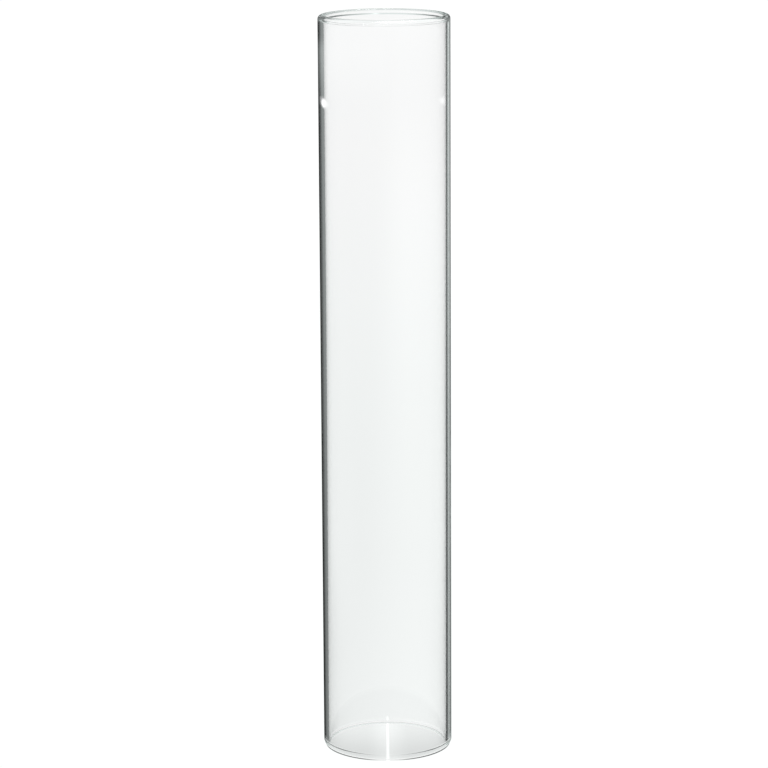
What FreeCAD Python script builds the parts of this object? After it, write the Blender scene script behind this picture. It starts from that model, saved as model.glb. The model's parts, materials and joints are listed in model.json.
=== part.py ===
import FreeCAD, Part
import math
import os
import Sketcher

# Open-ended borosilicate glass tube with fire-polished rims, standing upright on its lower rim.
# Millimetres, +Z up along the tube's axis, origin at the centre of the circle that it stands on.
#
# The tube is one piece of drawn glass. Each cut end has been melted smooth in a flame: the outer
# edge is drawn in to a large round, the crown keeps a hair-thin flat, and the surplus glass forms
# a low lip on the inside. One profile, revolved about the axis, makes the whole tube.

NODE = "glass_tube"

SIZES = (
    ("outer_diameter", 70.0),
    ("wall_thickness", 2.8),
    ("tube_length", 400.0),
    ("outer_round", 2.3),  # radius of the outer edge at each rim
    ("crown_flat", 0.2),  # width of the flat ring at the very end
    ("inner_round", 0.7),  # radius of the inner edge at each rim
    ("lip_height", 1.3),  # straight part of the inner lip
    ("lip_blend", 1.5),  # radius of the two arcs that lead from the lip to the bore
)

START, END = 1, 2  # the point numbers of a sketch element
BASE_LINE = -1  # the sketch's own horizontal axis, whose start is the origin


def make_sheet(doc):
    """The driving dimensions, one alias per row."""
    sheet = doc.addObject("Spreadsheet::Sheet", "sizes")
    for row, (alias, value) in enumerate(SIZES, start=1):
        sheet.set(f"A{row}", alias)
        sheet.set(f"B{row}", str(value))
        sheet.setAlias(f"B{row}", alias)
    return sheet


def origin_plane(body, role):
    """One of the body's own origin planes."""
    for feature in body.Origin.OriginFeatures:
        if feature.Role == role:
            return feature
    raise LookupError(role)


def line(start, end):
    return Part.LineSegment(FreeCAD.Vector(*start, 0), FreeCAD.Vector(*end, 0))


def arc(centre, radius, first, last):
    """A counterclockwise arc between two angles in degrees."""
    circle = Part.Circle(FreeCAD.Vector(*centre, 0), FreeCAD.Vector(0, 0, 1), radius)
    return Part.ArcOfCircle(circle, math.radians(first), math.radians(last))


def rim_elements(size, end_height, up):
    """The elements of one rim, in order from the outer wall round to the bore.

    end_height is where the rim's flat lies, and up is +1 where the tube rises from it, -1 where
    it hangs from it. Each element comes with the numbers of the points where the outline enters
    and leaves it: a mirrored arc runs the other way round, so its two points change places.
    """
    outer = size["outer_diameter"] / 2
    bore = outer - size["wall_thickness"]
    outer_round, inner_round, blend = size["outer_round"], size["inner_round"], size["lip_blend"]
    crown_outer = outer - outer_round
    crown_inner = crown_outer - size["crown_flat"]
    lip = crown_inner - inner_round
    lip_end = inner_round + size["lip_height"]
    spread = 2 * blend - (bore - lip)  # across, between the centres of the two blend arcs
    lean = math.degrees(math.acos(spread / (2 * blend)))
    rise = math.sqrt((2 * blend) ** 2 - spread**2)

    def place(radius, height):
        return radius, end_height + up * height

    def turn(centre, radius, low_angle, high_angle):
        if up > 0:
            return arc(place(*centre), radius, low_angle, high_angle)
        return arc(place(*centre), radius, -high_angle, -low_angle)

    low, high = (START, END) if up > 0 else (END, START)
    return [
        (turn((crown_outer, outer_round), outer_round, -90, 0), high, low),
        (line(place(crown_outer, 0), place(crown_inner, 0)), START, END),
        (turn((crown_inner, inner_round), inner_round, 180, 270), high, low),
        (line(place(lip, inner_round), place(lip, lip_end)), START, END),
        (turn((lip + blend, lip_end), blend, 180 - lean, 180), high, low),
        (turn((bore - blend, lip_end + rise), blend, -lean, 0), low, high),
    ]


def add_rim(sketch, size, name, end_height, up):
    """Draw one rim, join its elements smoothly and bind its sizes to the sheet.

    Gives the rim's two open ends, at the outer wall and at the bore, and its flat.
    """
    elements = rim_elements(size, end_height, up)
    indices = [sketch.addGeometry(shape, False) for shape, _, _ in elements]
    ends = [(index, enter, leave) for index, (_, enter, leave) in zip(indices, elements)]
    for (here, _, leave), (after, enter, _) in zip(ends, ends[1:]):
        sketch.addConstraint(Sketcher.Constraint("Tangent", here, leave, after, enter))
    outer_round, crown, inner_round, lip, lip_arc, bore_arc = indices
    sketch.addConstraint(Sketcher.Constraint("Horizontal", crown))
    sketch.addConstraint(Sketcher.Constraint("Vertical", lip))
    for label, kind, element, alias in (
        ("outer_round", "Radius", outer_round, "outer_round"),
        ("crown_flat", "Distance", crown, "crown_flat"),
        ("inner_round", "Radius", inner_round, "inner_round"),
        ("lip_height", "Distance", lip, "lip_height"),
        ("lip_arc", "Radius", lip_arc, "lip_blend"),
        ("bore_arc", "Radius", bore_arc, "lip_blend"),
    ):
        bind(sketch, f"{name}_{label}", kind, (element,), size[alias], f"sizes.{alias}")
    return ends[0][:2], (bore_arc, ends[-1][2]), crown


def bind(sketch, name, kind, elements, start_value, expression):
    """Add a dimension with a name and a first value, driven by an expression on the sheet."""
    index = sketch.addConstraint(Sketcher.Constraint(kind, *elements, start_value))
    sketch.renameConstraint(index, name)
    sketch.setExpression(f"Constraints.{name}", expression)


def add_wall_line(sketch, name, bottom, top, expression):
    """A vertical line between two rims' open ends, at a radius bound to the sheet."""
    low = sketch.getPoint(*bottom)
    high = sketch.getPoint(*top)
    index = sketch.addGeometry(line((low.x, low.y), (high.x, high.y)), False)
    sketch.addConstraint(Sketcher.Constraint("Vertical", index))
    sketch.addConstraint(Sketcher.Constraint("Tangent", index, START, *bottom))
    sketch.addConstraint(Sketcher.Constraint("Tangent", index, END, *top))
    bind(sketch, name, "DistanceX", (BASE_LINE, START, index, START), low.x, expression)


def make_tube(doc, sheet):
    """The tube's body: its profile in the XZ plane, revolved about Z."""
    size = {alias: float(sheet.get(alias)) for alias, _ in SIZES}
    body = doc.addObject("PartDesign::Body", NODE)
    body.Label = NODE
    sketch = body.newObject("Sketcher::SketchObject", "wall_profile")
    sketch.AttachmentSupport = [(origin_plane(body, "XZ_Plane"), "")]
    sketch.MapMode = "FlatFace"

    low_outer, low_bore, low_crown = add_rim(sketch, size, "low", 0.0, +1)
    high_outer, high_bore, high_crown = add_rim(sketch, size, "high", size["tube_length"], -1)
    outer_radius = "sizes.outer_diameter / 2"
    bore_radius = "sizes.outer_diameter / 2 - sizes.wall_thickness"
    add_wall_line(sketch, "outer_radius", low_outer, high_outer, outer_radius)
    add_wall_line(sketch, "bore_radius", low_bore, high_bore, bore_radius)
    sketch.addConstraint(Sketcher.Constraint("PointOnObject", low_crown, START, BASE_LINE))
    height = (BASE_LINE, START, high_crown, START)
    length = size["tube_length"]
    bind(sketch, "tube_length", "DistanceY", height, length, "sizes.tube_length")

    revolution = body.newObject("PartDesign::Revolution", "drawn_tube")
    revolution.Profile = sketch
    revolution.ReferenceAxis = (sketch, ["V_Axis"])
    revolution.Angle = 360.0
    body.Tip = revolution
    body.Placement = FreeCAD.Placement()
    return body


def check(doc, pieces):
    """Stop on any failed object or bad shape."""
    for item in doc.Objects:
        bad = [state for state in item.State if state in ("Invalid", "Error")]
        if bad:
            raise RuntimeError(f"{item.Label}: {bad}")
    for piece in pieces:
        if piece.Shape.isNull() or not piece.Shape.isValid():
            raise RuntimeError(f"{piece.Label}: bad shape")


def main():
    doc = FreeCAD.newDocument("glass_tube_open_both_ends")
    sheet = make_sheet(doc)
    doc.recompute()
    pieces = [make_tube(doc, sheet)]
    doc.recompute()
    check(doc, pieces)
    os.makedirs("parts", exist_ok=True)
    for piece in pieces:
        piece.Shape.exportStep(os.path.join("parts", f"{piece.Label}.step"))


main()
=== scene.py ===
import json
import math

import bmesh
import bpy
from mathutils import Matrix, Vector


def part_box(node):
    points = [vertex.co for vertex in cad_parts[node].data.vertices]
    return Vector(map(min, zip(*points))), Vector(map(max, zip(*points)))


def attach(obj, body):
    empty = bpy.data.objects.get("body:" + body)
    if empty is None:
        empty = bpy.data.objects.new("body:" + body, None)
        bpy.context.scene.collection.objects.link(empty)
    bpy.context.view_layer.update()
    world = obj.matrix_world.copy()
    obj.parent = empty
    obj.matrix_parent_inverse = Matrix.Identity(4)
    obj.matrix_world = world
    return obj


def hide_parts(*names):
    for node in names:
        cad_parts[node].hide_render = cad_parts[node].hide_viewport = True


# A plain glass tube, open at both ends, standing on a white floor that glows like a light table.
# Metres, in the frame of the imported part: Z up along the tube's axis, origin under its centre.
#
# The tube is glass and nothing else. Its dark lines, grey tones and light spots come from the
# stage. Apart from the shade and the streak at the tube's foot, the stage is plain white where it
# is seen directly, and shows other levels to light that met the glass. Those levels are fitted to
# one photograph, taken from the front, and none of them go with the part.

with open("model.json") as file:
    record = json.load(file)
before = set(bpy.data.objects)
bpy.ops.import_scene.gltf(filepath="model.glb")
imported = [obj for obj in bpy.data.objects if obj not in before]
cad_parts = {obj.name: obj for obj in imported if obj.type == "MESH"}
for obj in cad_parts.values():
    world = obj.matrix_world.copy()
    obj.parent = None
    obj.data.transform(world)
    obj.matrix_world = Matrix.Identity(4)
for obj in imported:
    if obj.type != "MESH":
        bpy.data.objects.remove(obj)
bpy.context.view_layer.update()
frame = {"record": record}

MM = 0.001
NODE = "glass_tube"

# The tube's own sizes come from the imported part: its box and its mounts.
low_corner, high_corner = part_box(NODE)
mounts = {mount["name"]: mount for mount in frame["record"]["mounts"]}
OUTER_RADIUS = mounts["outer_wall"]["dims"]["r_mm"] * MM
TUBE_LENGTH = high_corner.z - low_corner.z
LIP_RADIUS = mounts["through_bore"]["dims"]["r_mm"] * MM
OUTER_ROUND = (TUBE_LENGTH - mounts["outer_wall"]["dims"]["length_mm"] * MM) / 2
INNER_ROUND = (TUBE_LENGTH - mounts["through_bore"]["dims"]["length_mm"] * MM) / 2
WALL = 2.8 * MM  # the part's own wall, which no mount gives; the same goes for the two below
BORE_RADIUS = OUTER_RADIUS - WALL
LIP_HEIGHT = 1.3 * MM  # straight part of the lip inside each rim
LIP_BLEND = 1.5 * MM  # radius of the two arcs between lip and bore

AROUND = 384  # mesh segments round the tube
WALL_ROWS = 72  # mesh rows along each wall
OUTER_ROUND_STEPS = 18  # mesh steps along each arc of a rim
INNER_ROUND_STEPS = 12
LIP_BLEND_STEPS = 8

# The bore's centre wanders from the axis: from left to right by a quarter wave from foot to top,
# and from front to back by a smaller wave.
DRIFT_AT_FOOT = -0.12 * MM
DRIFT_ACROSS = 0.42 * MM
DRIFT_ALONG = 0.07 * MM
DRIFT_ALONG_HALF_WAVES = 1.9  # over the tube's length
DRIFT_ALONG_START = 0.4  # of a half wave, at the foot

# Clear glass with a faint green body.
GLASS_INDEX = 1.473
GLASS_GREEN = (0.35, 0.72, 0.60, 1)
GLASS_DENSITY = 0.2
DRAW_LINE_SCALE = 90.0  # fine lines along the tube, left by drawing it
DRAW_LINE_STRETCH = 0.03
DRAW_LINE_DETAIL = 2.0
DRAW_LINE_STRENGTH = 0.35
DRAW_LINE_DEPTH = 0.00004
HAZE_SCALE = 140.0
HAZE_DETAIL = 4.0
HAZE_RANGE = (0.45, 0.75)  # of the noise, from clear to most hazy
HAZE_ROUGHNESS = 0.012

# Camera, in front of the tube and above it, looking along +Y and down.
CAMERA_DISTANCE = 1.7221
CAMERA_HEIGHT = 0.5654
CAMERA_TILT = math.radians(11.942)
CAMERA_PAN = math.radians(-0.034)
CAMERA_ROLL = math.radians(0.318)
LENS_MM = 153.215
SENSOR_MM = 36.0


# ---------------------------------------------------------------- node helpers


def node(tree, kind, **settings):
    """A new node with its properties set."""
    made = tree.nodes.new(kind)
    for name, value in settings.items():
        setattr(made, name, value)
    return made


def feed(tree, socket, value):
    """Link a socket to an input, or set the input's own value."""
    if isinstance(value, bpy.types.NodeSocket):
        tree.links.new(value, socket)
    else:
        socket.default_value = value


def maths(tree, operation, *values):
    """A Math node on numbers or sockets, giving its output."""
    made = node(tree, "ShaderNodeMath", operation=operation)
    for socket, value in zip(made.inputs, values):
        feed(tree, socket, value)
    return made.outputs[0]


def ramp(tree, factor, stops, interpolation="LINEAR"):
    """A colour ramp of grey levels, from (place, level) pairs in order of place."""
    made = node(tree, "ShaderNodeValToRGB")
    band = made.color_ramp
    band.interpolation = interpolation
    while len(band.elements) < len(stops):
        band.elements.new(0.5)
    for element, (place, level) in zip(band.elements, stops):
        element.position = place
        element.color = (level, level, level, 1)
    feed(tree, made.inputs[0], factor)
    return made.outputs[0]


def between(tree, value, low, high, out_low=0.0, out_high=1.0, smooth=True):
    """Map the range from low to high to another range, clamped at its ends."""
    kind = "SMOOTHSTEP" if smooth else "LINEAR"
    made = node(tree, "ShaderNodeMapRange", interpolation_type=kind)
    for socket, number in zip(made.inputs, (value, low, high, out_low, out_high)):
        feed(tree, socket, number)
    return made.outputs[0]


# The Mix node has a pair of inputs and an output for each kind of value, all in one list.
MIX_INPUTS = {"FLOAT": (0, 2, 3), "RGBA": (0, 6, 7)}
MIX_OUTPUT = {"FLOAT": 0, "RGBA": 2}


def blend(tree, share, first, second, kind="FLOAT"):
    """Mix two levels or colours, share being 0 for the first and 1 for the second."""
    made = node(tree, "ShaderNodeMix", data_type=kind)
    for place, value in zip(MIX_INPUTS[kind], (share, first, second)):
        feed(tree, made.inputs[place], value)
    return made.outputs[MIX_OUTPUT[kind]]


def product(tree, first, *others):
    """Levels multiplied together."""
    for other in others:
        first = maths(tree, "MULTIPLY", first, other)
    return first


def rest(tree, share):
    """What a share leaves of 1."""
    return maths(tree, "SUBTRACT", 1.0, share)


def split(tree, vector):
    """The X, Y and Z of a vector."""
    parts = node(tree, "ShaderNodeSeparateXYZ")
    feed(tree, parts.inputs[0], vector)
    return parts.outputs["X"], parts.outputs["Y"], parts.outputs["Z"]


def surface(tree, shader):
    """Make a shader the material's surface."""
    output = node(tree, "ShaderNodeOutputMaterial")
    feed(tree, output.inputs["Surface"], shader)


# ---------------------------------------------------------------- glass tube


def arc_points(centre, radius, first, last, steps):
    """Points on an arc between two angles in degrees, both ends included."""
    points = []
    for step in range(steps + 1):
        angle = math.radians(first + (last - first) * step / steps)
        points.append(
            (centre[0] + radius * math.cos(angle), centre[1] + radius * math.sin(angle))
        )
    return points


def rim_points():
    """The lower rim's outline, (radius, height), from the outer wall round to the bore."""
    crown_outer = OUTER_RADIUS - OUTER_ROUND
    crown_inner = LIP_RADIUS + INNER_ROUND
    lip_end = INNER_ROUND + LIP_HEIGHT
    spread = 2 * LIP_BLEND - (BORE_RADIUS - LIP_RADIUS)
    lean = math.degrees(math.acos(spread / (2 * LIP_BLEND)))
    rise = math.sqrt((2 * LIP_BLEND) ** 2 - spread**2)
    lip_centre = (LIP_RADIUS + LIP_BLEND, lip_end)
    bore_centre = (BORE_RADIUS - LIP_BLEND, lip_end + rise)
    return (
        arc_points((crown_outer, OUTER_ROUND), OUTER_ROUND, 0, -90, OUTER_ROUND_STEPS)
        + arc_points((crown_inner, INNER_ROUND), INNER_ROUND, 270, 180, INNER_ROUND_STEPS)
        + arc_points(lip_centre, LIP_BLEND, 180, 180 - lean, LIP_BLEND_STEPS)
        + arc_points(bore_centre, LIP_BLEND, -lean, 0, LIP_BLEND_STEPS)[1:]
    )


def wall_points(radius, start, end):
    """Points along a straight wall, without its two ends."""
    return [
        (radius, start + (end - start) * row / WALL_ROWS) for row in range(1, WALL_ROWS)
    ]


def tube_outline():
    """The closed outline of the wall: lower rim, bore, upper rim, outer wall."""
    lower = rim_points()
    upper = [(radius, TUBE_LENGTH - height) for radius, height in reversed(lower)]
    bore = wall_points(BORE_RADIUS, lower[-1][1], upper[0][1])
    outside = wall_points(OUTER_RADIUS, upper[-1][1], lower[0][1])
    return lower + bore + upper + outside


def bore_drift(height):
    """How far the bore's centre has wandered from the axis at a height."""
    share = height / TUBE_LENGTH
    across = DRIFT_AT_FOOT + DRIFT_ACROSS * math.sin(math.pi / 2 * share)
    half_waves = DRIFT_ALONG_HALF_WAVES * share + DRIFT_ALONG_START
    return across, DRIFT_ALONG * math.sin(math.pi * half_waves)


def make_tube():
    """The whole tube as one closed mesh. The drift is full at the bore and nothing outside."""
    outline = tube_outline()
    mesh = bmesh.new()
    rings = []
    for radius, height in outline:
        inward = min(1.0, (OUTER_RADIUS - radius) / WALL)
        shift_x, shift_y = (inward * shift for shift in bore_drift(height))
        ring = []
        for step in range(AROUND):
            angle = 2 * math.pi * step / AROUND
            x = radius * math.cos(angle) + shift_x
            y = radius * math.sin(angle) + shift_y
            ring.append(mesh.verts.new((x, y, height)))
        rings.append(ring)
    for here, after in zip(rings, rings[1:] + rings[:1]):
        for step in range(AROUND):
            following = (step + 1) % AROUND
            mesh.faces.new((here[step], after[step], after[following], here[following]))
    bmesh.ops.recalc_face_normals(mesh, faces=mesh.faces)
    for face in mesh.faces:
        face.smooth = True
    data = bpy.data.meshes.new("drawn_tube")
    mesh.to_mesh(data)
    mesh.free()
    tube = bpy.data.objects.new("drawn_tube", data)
    bpy.context.scene.collection.objects.link(tube)
    return tube


def glass_material():
    """Clear glass with a faint green body and the slight unevenness of drawn tubing."""
    material = bpy.data.materials.new("clear_glass")
    material.use_nodes = True
    tree = material.node_tree
    shader = tree.nodes["Principled BSDF"]
    shader.inputs["Base Color"].default_value = (1, 1, 1, 1)
    shader.inputs["Transmission Weight"].default_value = 1.0
    shader.inputs["IOR"].default_value = GLASS_INDEX

    place = node(tree, "ShaderNodeTexCoord").outputs["Object"]
    stretch = node(tree, "ShaderNodeMapping")
    feed(tree, stretch.inputs["Vector"], place)
    stretch.inputs["Scale"].default_value = (1.0, 1.0, DRAW_LINE_STRETCH)

    draw_lines = node(tree, "ShaderNodeTexNoise")
    feed(tree, draw_lines.inputs["Vector"], stretch.outputs["Vector"])
    draw_lines.inputs["Scale"].default_value = DRAW_LINE_SCALE
    draw_lines.inputs["Detail"].default_value = DRAW_LINE_DETAIL

    bump = node(tree, "ShaderNodeBump")
    bump.inputs["Strength"].default_value = DRAW_LINE_STRENGTH
    bump.inputs["Distance"].default_value = DRAW_LINE_DEPTH
    feed(tree, bump.inputs["Height"], draw_lines.outputs["Fac"])
    feed(tree, shader.inputs["Normal"], bump.outputs["Normal"])

    haze = node(tree, "ShaderNodeTexNoise")
    feed(tree, haze.inputs["Vector"], place)
    haze.inputs["Scale"].default_value = HAZE_SCALE
    haze.inputs["Detail"].default_value = HAZE_DETAIL
    roughness = between(tree, haze.outputs["Fac"], *HAZE_RANGE, 0.0, HAZE_ROUGHNESS)
    feed(tree, shader.inputs["Roughness"], roughness)

    body = node(tree, "ShaderNodeVolumeAbsorption")
    body.inputs["Color"].default_value = GLASS_GREEN
    body.inputs["Density"].default_value = GLASS_DENSITY
    feed(tree, tree.nodes["Material Output"].inputs["Volume"], body.outputs[0])
    return material


# ---------------------------------------------------------------- studio

FLOOR_HALF = 20.0
OPEN_FLOOR = 1.04  # plain white where no glass stands in front of it

# The floor's grey level where it is seen through the glass, by metres from the tube's axis.
FLOOR_FAR = 4.5  # metres over which it is set
FLOOR_LEVELS = (
    (0.0, 0.975),
    (0.2, 0.955),
    (0.4, 0.948),
    (0.7, 0.957),
    (1.34, 0.985),
    (1.97, 1.00),
    (2.9, 1.01),
    (3.8, 1.04),
    (4.0, 1.04),
    (4.1, 1.00),
    (4.3, 0.985),
)
# Factors of that level by compass direction. They count only some way from the tube.
FLOOR_SIDES = (
    (-180, 1.0),
    (-40, 1.0),
    (-30, 0.92),
    (-24, 1.0),
    (-19, 1.10),
    (-14, 1.09),
    (-9, 1.035),
    (-4, 1.0),
    (4, 1.0),
    (9, 1.02),
    (15, 1.07),
    (20, 1.10),
    (26, 1.03),
    (35, 1.0),
    (180, 1.0),
)
SIDES_FROM, SIDES_FULL = 0.15, 0.5  # metres from the axis
# That level also leans from left to right, by lines that meet in a point in front of the tube.
LEAN_POINT = 1.7  # metres in front
LEAN_SLOPE = 0.016  # of the lines where the lean ends, on either side
LEAN_LEFT = 0.97
LEAN_RIGHT_NEAR, LEAN_RIGHT_FAR = 1.03, 0.985
LEAN_NEAR, LEAN_FAR = 1.4, 3.6  # metres from the axis
NEAR_TINT = (0.975, 1.0, 0.992, 1)
FAR_TINT = (0.995, 1.0, 1.0, 1)
TINT_NEAR, TINT_FAR = 0.5, 2.5  # metres from the axis
# Two small lamps lie on the floor behind, and are seen only through or in the glass. For each
# lamp: the sine of its compass direction, and how far from the axis it lies.
LEFT_LAMP = (-0.64, 2.92)
RIGHT_LAMP = (0.38, 2.89)
LAMP_SPREAD = 0.25
LAMP_DEPTH = 0.07
LAMP_GLOW = 0.42
LAMP_CORE = 0.1  # fully lit up to here, by the square of the way from its middle to its edge
NEAR_FLOOR = 10 * MM  # the nearer wall mirrors the floor itself only this close to it
NEAR_FLOOR_FULL = 4 * MM

# Inside the foot, the floor is shaded, with a brighter fan round its middle line.
FOOT_FRONT, FOOT_BACK = 0.74, 0.92
FOOT_EDGE_IN, FOOT_EDGE_OUT = 1.5 * MM, 1.0 * MM  # the shade ends softly under the wall
FAN_HALF = 13 * MM
FAN_GLOW = 0.09
# A bright streak runs along the middle line, from just before the foot to a little behind it.
STREAK_GLOW = 0.27
STREAK_HALF_FRONT, STREAK_HALF_BACK = 1.5 * MM, 0.9 * MM
STREAK_BACK = (1.4 * LIP_RADIUS, 1.5 * LIP_RADIUS)
STREAK_FRONT = (-1.2 * OUTER_RADIUS, -OUTER_RADIUS)
# A painted contact shadow, a dark ring, lies where the lower rim meets the floor in front.
CONTACT_SHADOW_LEVEL = 0.15
RING_INSIDE_RIM = 0.65 * MM  # how far inside the outer wall it ends
RING_MIRRORED_WIDER = 0.2 * MM  # its mirror image in the rim is this much wider
RING_FADE = 0.4 * MM
RING_FRONT = 0.2 * OUTER_RADIUS  # it fades in from this far behind the middle to this far before
RING_MIDDLE = (2 * MM, 16 * MM)  # it is weaker near the middle line
RING_MIDDLE_SHARE = 0.25

# Grey levels of the studio by compass direction, in degrees from +Y towards +X. Low down stand
# dark flags with a light strip on the right, and above them is the pale room. Both are seen only
# where the nearer wall mirrors them, which is mostly at its edges. The ceiling is seen only
# through both walls, and the rim flag, which hangs just above the tube, only through the glass.
LOW_FLAGS = (
    (-180, 0.30),
    (-60, 0.25),
    (-34, 0.29),
    (-28, 0.26),
    (-23, 0.14),
    (-19, 0.02),
    (-11, 0.0),
    (1, 0.0),
    (7, 0.10),
    (11, 0.32),
    (16, 0.22),
    (20, 0.42),
    (23, 0.80),
    (26, 0.92),
    (28.5, 0.55),
    (31, 0.15),
    (35, 0.10),
    (45, 0.10),
    (70, 0.26),
    (180, 0.30),
)
ROOM = (
    (-180, 0.95),
    (-120, 0.85),
    (-90, 0.90),
    (-60, 0.90),
    (-40, 0.80),
    (-15, 0.12),
    (-4, 0.20),
    (0, 0.80),
    (4, 0.20),
    (15, 0.12),
    (40, 0.80),
    (60, 0.90),
    (90, 0.90),
    (120, 0.85),
    (180, 0.95),
)
CEILING = (
    (-180, 0.12),
    (-14, 0.12),
    (-5, 0.65),
    (5, 0.65),
    (14, 0.12),
    (180, 0.12),
)
RIM_FLAG = (
    (-180, 0.40),
    (-110, 0.40),
    (-85, 0.12),
    (-26, 0.12),
    (-19, 0.40),
    (-12, 0.57),
    (-6, 0.60),
    (-4, 1.20),
    (-2, 0.78),
    (9, 0.78),
    (16, 0.65),
    (25, 0.12),
    (85, 0.12),
    (110, 0.40),
    (180, 0.40),
)
WHITE = (1, 1, 1, 1)
STUDIO_TINT = (0.93, 1.0, 0.985, 1)
OPEN_ROOM = 1.02  # plain white where no glass stands in front of it
OVERHEAD = 0.97  # the room overhead, seen through the glass
GUIDED = 0.73  # light that was mirrored many times on its way along inside the wall
ROUNDABOUT = 0.10  # light that was mirrored only a few times inside the wall
GUIDED_FROM, GUIDED_FULL = 8.0, 24.0  # how often it was mirrored, between those two levels
DEEP = 0.93  # light that was mirrored and also went past the nearer wall

# Light counts as mirrored, or as having gone through a face of the glass, above these numbers.
ANY = 0.5
OFTEN = 4.5
BOTH_FACES = 2.5

# Heights in the room are the upward parts of directions of length 1: for each edge, the height
# where it starts and the height where it is full.
FLAGS_TOP = (-0.02, -0.08)
FLAGS_FOOT = (-0.50, -0.40)
FLAGS_LOWER = (-0.30, -0.14, 0.75, 1.0)  # the flags are darker low down
# A pale band lies across the top of the flags on the left. Its foot and top have two heights and
# the level or factor at each, and its side two rightward parts of directions.
PALE_BAND_FOOT = (-0.125, -0.105, 0.0, 0.12)
PALE_BAND_TOP = (-0.106, -0.101, 1.0, 0.1)
PALE_BAND_SIDE = (0.1, -0.1)
OVERHEAD_FROM = (0.06, 0.14)
CEILING_FROM = (0.12, 0.25)

RIM_FLAG_RADII = (1.3 * OUTER_RADIUS, 15 * OUTER_RADIUS)
RIM_FLAG_SEGMENTS = 96
RIM_FLAG_GAP = 2 * MM  # above the tube

SOFTBOX_SIZE = (1.4, 0.9)
SOFTBOX_POWER = 30.0
SOFTBOX_PLACE = (0.3, -0.4, 1.8)

BOUNCES = 256  # light runs round inside the wall many times before it leaves


def by_compass(tree, vector, levels):
    """A grey level for the compass direction of a vector."""
    across, along, _ = split(tree, vector)
    turn = maths(tree, "ARCTAN2", across, along)
    share = maths(tree, "MULTIPLY_ADD", turn, 1 / (2 * math.pi), 0.5)
    return ramp(tree, share, [((angle + 180) / 360, level) for angle, level in levels])


def light_paths(tree):
    """How the light met the glass on its way: 1 or 0 for each kind of path.

    through: it went into or through the glass. edge: it was mirrored, and got no further than
    the nearer wall. guided: the same, but it was mirrored often. deep: it was mirrored, and also
    went past the nearer wall. behind: it went past that wall without being mirrored.
    """
    path = node(tree, "ShaderNodeLightPath")
    mirrorings, crossings = path.outputs["Glossy Depth"], path.outputs["Transmission Depth"]
    mirrored = maths(tree, "GREATER_THAN", mirrorings, ANY)
    often = maths(tree, "GREATER_THAN", mirrorings, OFTEN)
    past_wall = maths(tree, "GREATER_THAN", crossings, BOTH_FACES)
    in_front = rest(tree, past_wall)
    return {
        "through": maths(tree, "GREATER_THAN", crossings, ANY),
        "edge": product(tree, mirrored, in_front),
        "guided": product(tree, often, in_front),
        "deep": product(tree, mirrored, past_wall),
        "behind": product(tree, rest(tree, mirrored), past_wall),
        "guided_level": between(tree, mirrorings, GUIDED_FROM, GUIDED_FULL, ROUNDABOUT, GUIDED),
        "ray_length": path.outputs["Ray Length"],
    }


def floor_spot(tree):
    """A point of the floor: its place, its X and Y, and how far it is from the tube's axis."""
    place = node(tree, "ShaderNodeTexCoord").outputs["Object"]
    across, along, _ = split(tree, place)
    length = node(tree, "ShaderNodeVectorMath", operation="LENGTH")
    feed(tree, length.inputs[0], place)
    return {
        "place": place,
        "across": across,
        "along": along,
        "reach": length.outputs["Value"],
        "off_line": maths(tree, "ABSOLUTE", across),
    }


def lamp_mask(tree, spot, lamp):
    """1 at the middle of a floor lamp, 0 off it."""
    direction, distance = lamp
    reach = maths(tree, "MAXIMUM", spot["reach"], OUTER_RADIUS)
    turned = maths(tree, "DIVIDE", spot["across"], reach)
    left, right = direction - LAMP_SPREAD, direction + LAMP_SPREAD
    near, far = distance - LAMP_DEPTH, distance + LAMP_DEPTH
    sideways = between(tree, turned, left, right, -1.0, 1.0, False)
    lengthways = between(tree, spot["reach"], near, far, -1.0, 1.0, False)
    lengthways = product(tree, lengthways, lengthways)
    off_middle = maths(tree, "MULTIPLY_ADD", sideways, sideways, lengthways)
    in_back = maths(tree, "GREATER_THAN", spot["along"], 0.0)
    return product(tree, between(tree, off_middle, LAMP_CORE, 1.0, 1.0, 0.0), in_back)


def level_through_glass(tree, spot, lamps):
    """The floor's level where it is seen through the glass."""
    reach = spot["reach"]
    stops = [(far / FLOOR_FAR, level) for far, level in FLOOR_LEVELS]
    level = ramp(tree, maths(tree, "DIVIDE", reach, FLOOR_FAR), stops)
    slope = maths(tree, "DIVIDE", spot["across"], maths(tree, "ADD", reach, LEAN_POINT))
    right = between(tree, reach, LEAN_NEAR, LEAN_FAR, LEAN_RIGHT_NEAR, LEAN_RIGHT_FAR)
    lean = between(tree, slope, -LEAN_SLOPE, LEAN_SLOPE, LEAN_LEFT, right)
    by_side = by_compass(tree, spot["place"], FLOOR_SIDES)
    sides = blend(tree, between(tree, reach, SIDES_FROM, SIDES_FULL), 1.0, by_side)
    level = product(tree, level, lean, sides)
    for lamp in lamps:
        level = maths(tree, "MULTIPLY_ADD", lamp, LAMP_GLOW, level)
    return level


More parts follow.
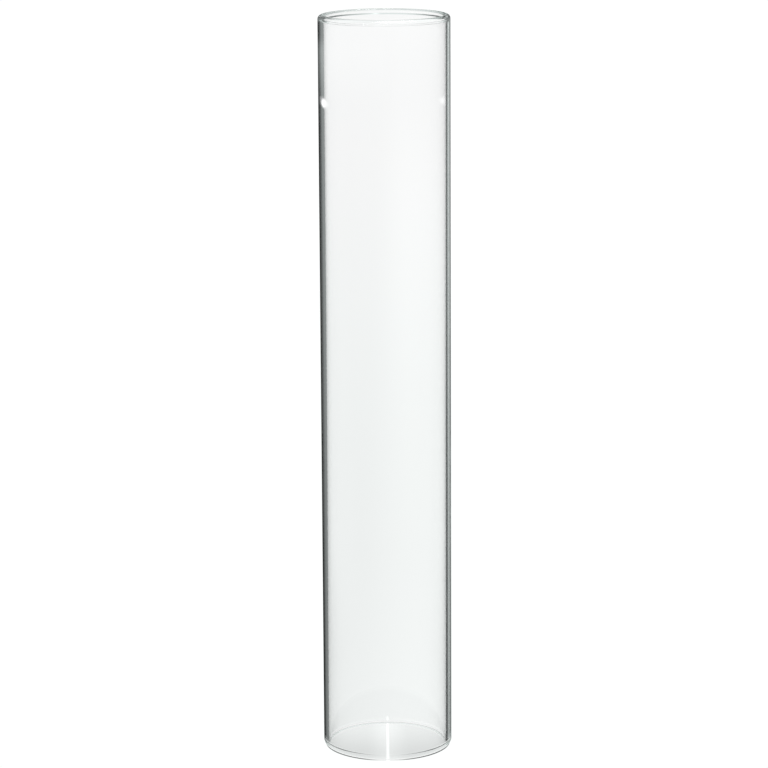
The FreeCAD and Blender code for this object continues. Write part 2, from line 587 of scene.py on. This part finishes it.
def shade_foot(tree, spot, level):
    """Shade the floor inside the foot, and add the streak along its middle line."""
    along, off_line = spot["along"], spot["off_line"]
    foot = between(tree, along, -LIP_RADIUS, LIP_RADIUS, FOOT_FRONT, FOOT_BACK)
    fan = between(tree, off_line, 0.0, FAN_HALF, FAN_GLOW, 0.0)
    edge_in, edge_out = LIP_RADIUS - FOOT_EDGE_IN, LIP_RADIUS + FOOT_EDGE_OUT
    inside = between(tree, spot["reach"], edge_in, edge_out, 1.0, 0.0)
    level = blend(tree, inside, level, maths(tree, "ADD", foot, fan))

    front, back = STREAK_HALF_FRONT, STREAK_HALF_BACK
    half = between(tree, along, -LIP_RADIUS, LIP_RADIUS, front, back, False)
    off_middle = maths(tree, "DIVIDE", off_line, half)
    streak = between(tree, off_middle, 0.0, 1.0, STREAK_GLOW, 0.0)
    length = product(
        tree, between(tree, along, *STREAK_BACK, 1.0, 0.0), between(tree, along, *STREAK_FRONT)
    )
    return maths(tree, "MULTIPLY_ADD", streak, length, level)


def painted_contact_shadow(tree, spot, edge):
    """How much of the painted contact shadow, a dark ring under the front of the lower rim, there
    is: 0 for none.
    """
    reach = spot["reach"]
    rim = maths(tree, "MULTIPLY_ADD", edge, RING_MIRRORED_WIDER, OUTER_RADIUS - RING_INSIDE_RIM)
    within = between(tree, maths(tree, "SUBTRACT", reach, rim), -RING_FADE, 0.0, 1.0, 0.0)
    outside = between(tree, reach, LIP_RADIUS, LIP_RADIUS + RING_FADE)
    front = between(tree, spot["along"], RING_FRONT, -RING_FRONT)
    middle = between(tree, spot["off_line"], *RING_MIDDLE, RING_MIDDLE_SHARE, 1.0)
    return product(tree, within, outside, front, middle)


def floor_light(tree, spot, paths, lamps):
    """How brightly the floor glows."""
    level = blend(tree, paths["through"], OPEN_FLOOR, level_through_glass(tree, spot, lamps))
    level = shade_foot(tree, spot, level)
    # Painted contact shadow: the floor's glow is darkened in a ring under the front of the lower
    # rim.
    ring = painted_contact_shadow(tree, spot, paths["edge"])
    level = product(tree, level, between(tree, ring, 0.0, 1.0, 1.0, CONTACT_SHADOW_LEVEL))
    level = blend(tree, paths["guided"], level, paths["guided_level"])
    return blend(tree, paths["deep"], level, DEEP)


def flat_stage(name, mesh):
    """A stage piece from a flat mesh, with a material whose tree is handed back empty."""
    data = bpy.data.meshes.new(name)
    mesh.to_mesh(data)
    mesh.free()
    stage = bpy.data.objects.new(name, data)
    bpy.context.scene.collection.objects.link(stage)
    material = bpy.data.materials.new(name)
    material.use_nodes = True
    material.node_tree.nodes.clear()
    data.materials.append(material)
    return stage, material.node_tree


def make_floor():
    """A wide white floor that glows. Light mirrored by the nearer wall mostly passes through it."""
    mesh = bmesh.new()
    bmesh.ops.create_grid(mesh, x_segments=1, y_segments=1, size=FLOOR_HALF)
    _, tree = flat_stage("white_floor", mesh)
    paths = light_paths(tree)
    spot = floor_spot(tree)
    lamps = [lamp_mask(tree, spot, lamp) for lamp in (LEFT_LAMP, RIGHT_LAMP)]
    glow = node(tree, "ShaderNodeEmission")
    off_tube = between(tree, spot["reach"], TINT_NEAR, TINT_FAR)
    feed(tree, glow.inputs["Color"], blend(tree, off_tube, NEAR_TINT, FAR_TINT, "RGBA"))
    feed(tree, glow.inputs["Strength"], floor_light(tree, spot, paths, lamps))

    far = between(tree, paths["ray_length"], NEAR_FLOOR_FULL, NEAR_FLOOR)
    edge_only = maths(tree, "SUBTRACT", paths["edge"], paths["guided"])
    left_lamp = lamps[0]  # this one shows to mirrored light as well
    mix = node(tree, "ShaderNodeMixShader")
    feed(tree, mix.inputs[0], product(tree, edge_only, far, rest(tree, left_lamp)))
    feed(tree, mix.inputs[1], glow.outputs[0])
    feed(tree, mix.inputs[2], node(tree, "ShaderNodeBsdfTransparent").outputs[0])
    surface(tree, mix.outputs[0])


def make_rim_flag():
    """A wide ring card just above the tube. It shows through the glass, mostly at its rim."""
    mesh = bmesh.new()
    angles = [2 * math.pi * step / RIM_FLAG_SEGMENTS for step in range(RIM_FLAG_SEGMENTS)]
    inner, outer = (
        [mesh.verts.new((radius * math.cos(turn), radius * math.sin(turn), 0)) for turn in angles]
        for radius in RIM_FLAG_RADII
    )
    for step in range(RIM_FLAG_SEGMENTS):
        mesh.faces.new((inner[step], outer[step], outer[step - 1], inner[step - 1]))
    flag, tree = flat_stage("rim_flag", mesh)
    flag.location.z = TUBE_LENGTH + RIM_FLAG_GAP
    flag.visible_camera = False
    flag.visible_diffuse = False
    flag.visible_glossy = False
    flag.visible_shadow = False
    place = node(tree, "ShaderNodeTexCoord").outputs["Object"]
    glow = node(tree, "ShaderNodeEmission")
    glow.inputs["Color"].default_value = STUDIO_TINT
    feed(tree, glow.inputs["Strength"], by_compass(tree, place, RIM_FLAG))
    surface(tree, glow.outputs[0])


def mirrored_studio(tree, ahead):
    """What the nearer wall mirrors from a direction: flags low down, the room above."""
    across, _, height = split(tree, ahead)
    pale_band = product(
        tree,
        between(tree, height, *PALE_BAND_FOOT),
        between(tree, height, *PALE_BAND_TOP),
        between(tree, across, *PALE_BAND_SIDE),
    )
    darker = between(tree, height, *FLAGS_LOWER)
    flags = maths(tree, "MULTIPLY_ADD", by_compass(tree, ahead, LOW_FLAGS), darker, pale_band)
    low_down = product(
        tree, between(tree, height, *FLAGS_TOP), between(tree, height, *FLAGS_FOOT)
    )
    return blend(tree, low_down, by_compass(tree, ahead, ROOM), flags)


def make_world():
    """White all round, with the studio for the glass to mirror."""
    world = bpy.data.worlds.new("studio")
    bpy.context.scene.world = world
    world.use_nodes = True
    tree = world.node_tree
    paths = light_paths(tree)
    ahead = node(tree, "ShaderNodeTexCoord").outputs["Generated"]
    _, _, height = split(tree, ahead)

    overhead = product(tree, paths["through"], between(tree, height, *OVERHEAD_FROM))
    level = blend(tree, overhead, OPEN_ROOM, OVERHEAD)
    ceiling = product(tree, paths["behind"], between(tree, height, *CEILING_FROM))
    level = blend(tree, ceiling, level, by_compass(tree, ahead, CEILING))
    level = blend(tree, paths["edge"], level, mirrored_studio(tree, ahead))
    level = blend(tree, paths["guided"], level, paths["guided_level"])
    level = blend(tree, paths["deep"], level, DEEP)
    background = tree.nodes["Background"]
    tint = blend(tree, paths["edge"], WHITE, STUDIO_TINT, "RGBA")
    feed(tree, background.inputs["Color"], tint)
    feed(tree, background.inputs["Strength"], level)


def make_softbox():
    """One large soft light above the tube. The glass mirrors it, but it doesn't show through."""
    lamp = bpy.data.lights.new("softbox", "AREA")
    lamp.shape = "RECTANGLE"
    lamp.size, lamp.size_y = SOFTBOX_SIZE
    lamp.energy = SOFTBOX_POWER
    holder = bpy.data.objects.new("softbox", lamp)
    holder.location = SOFTBOX_PLACE
    holder.rotation_euler = (-holder.location).to_track_quat("-Z", "Y").to_euler()
    holder.visible_transmission = False
    bpy.context.scene.collection.objects.link(holder)


def make_camera():
    """The camera, by its place, its tilt and pan, and its roll."""
    camera = bpy.data.cameras.new("camera")
    camera.sensor_width = SENSOR_MM
    camera.lens = LENS_MM
    holder = bpy.data.objects.new("camera", camera)
    bpy.context.scene.collection.objects.link(holder)
    ahead = Vector((
        math.sin(CAMERA_PAN) * math.cos(CAMERA_TILT),
        math.cos(CAMERA_PAN) * math.cos(CAMERA_TILT),
        -math.sin(CAMERA_TILT),
    ))
    level_right = Vector((math.cos(CAMERA_PAN), -math.sin(CAMERA_PAN), 0))
    level_up = level_right.cross(ahead)
    right = level_right * math.cos(CAMERA_ROLL) - level_up * math.sin(CAMERA_ROLL)
    up = level_right * math.sin(CAMERA_ROLL) + level_up * math.cos(CAMERA_ROLL)
    turned = Matrix((right, up, -ahead)).transposed().to_4x4()
    holder.matrix_world = Matrix.Translation((0, -CAMERA_DISTANCE, CAMERA_HEIGHT)) @ turned
    bpy.context.scene.camera = holder


tube = make_tube()
tube.data.materials.append(glass_material())
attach(tube, "root")
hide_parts(NODE)
make_floor()
make_rim_flag()
make_world()
make_softbox()
make_camera()

scene = bpy.context.scene
scene.view_settings.view_transform = "Standard"
scene.cycles.max_bounces = BOUNCES
scene.cycles.transmission_bounces = BOUNCES
scene.cycles.glossy_bounces = BOUNCES
